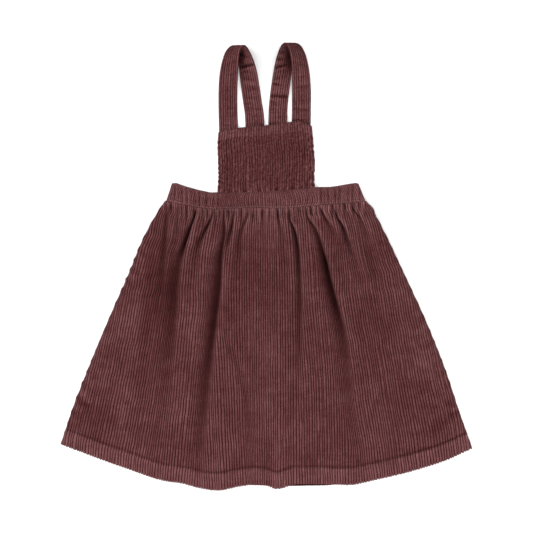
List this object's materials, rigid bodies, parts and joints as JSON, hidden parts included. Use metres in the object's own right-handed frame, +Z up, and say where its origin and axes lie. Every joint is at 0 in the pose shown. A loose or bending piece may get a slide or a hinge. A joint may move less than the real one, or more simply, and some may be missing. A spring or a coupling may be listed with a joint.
{
  "type": "pinafore dress",
  "caption": "Child's sleeveless corduroy pinafore dress laid flat: gathered flared skirt, elastic waistband, square bib and over-shoulder straps.",
  "frame": {"origin": "on the surface the dress lies on, under the middle of its outline", "axes": "+Y from the hem towards the straps, +X to the right of the dress as seen lying front up, +Z up, out of the front"},
  "size_m": [0.5138, 0.5587, 0.0218],
  "materials": {
    "corduroy": "brushed plum cotton corduroy with wide wales"
  },
  "bodies": {
    "root": {"skirt_front": "corduroy", "skirt_back": "corduroy", "waistband_front": "corduroy", "waistband_back": "corduroy", "bib": "corduroy", "strap_left": "corduroy", "strap_right": "corduroy"}
  },
  "joints": []
}
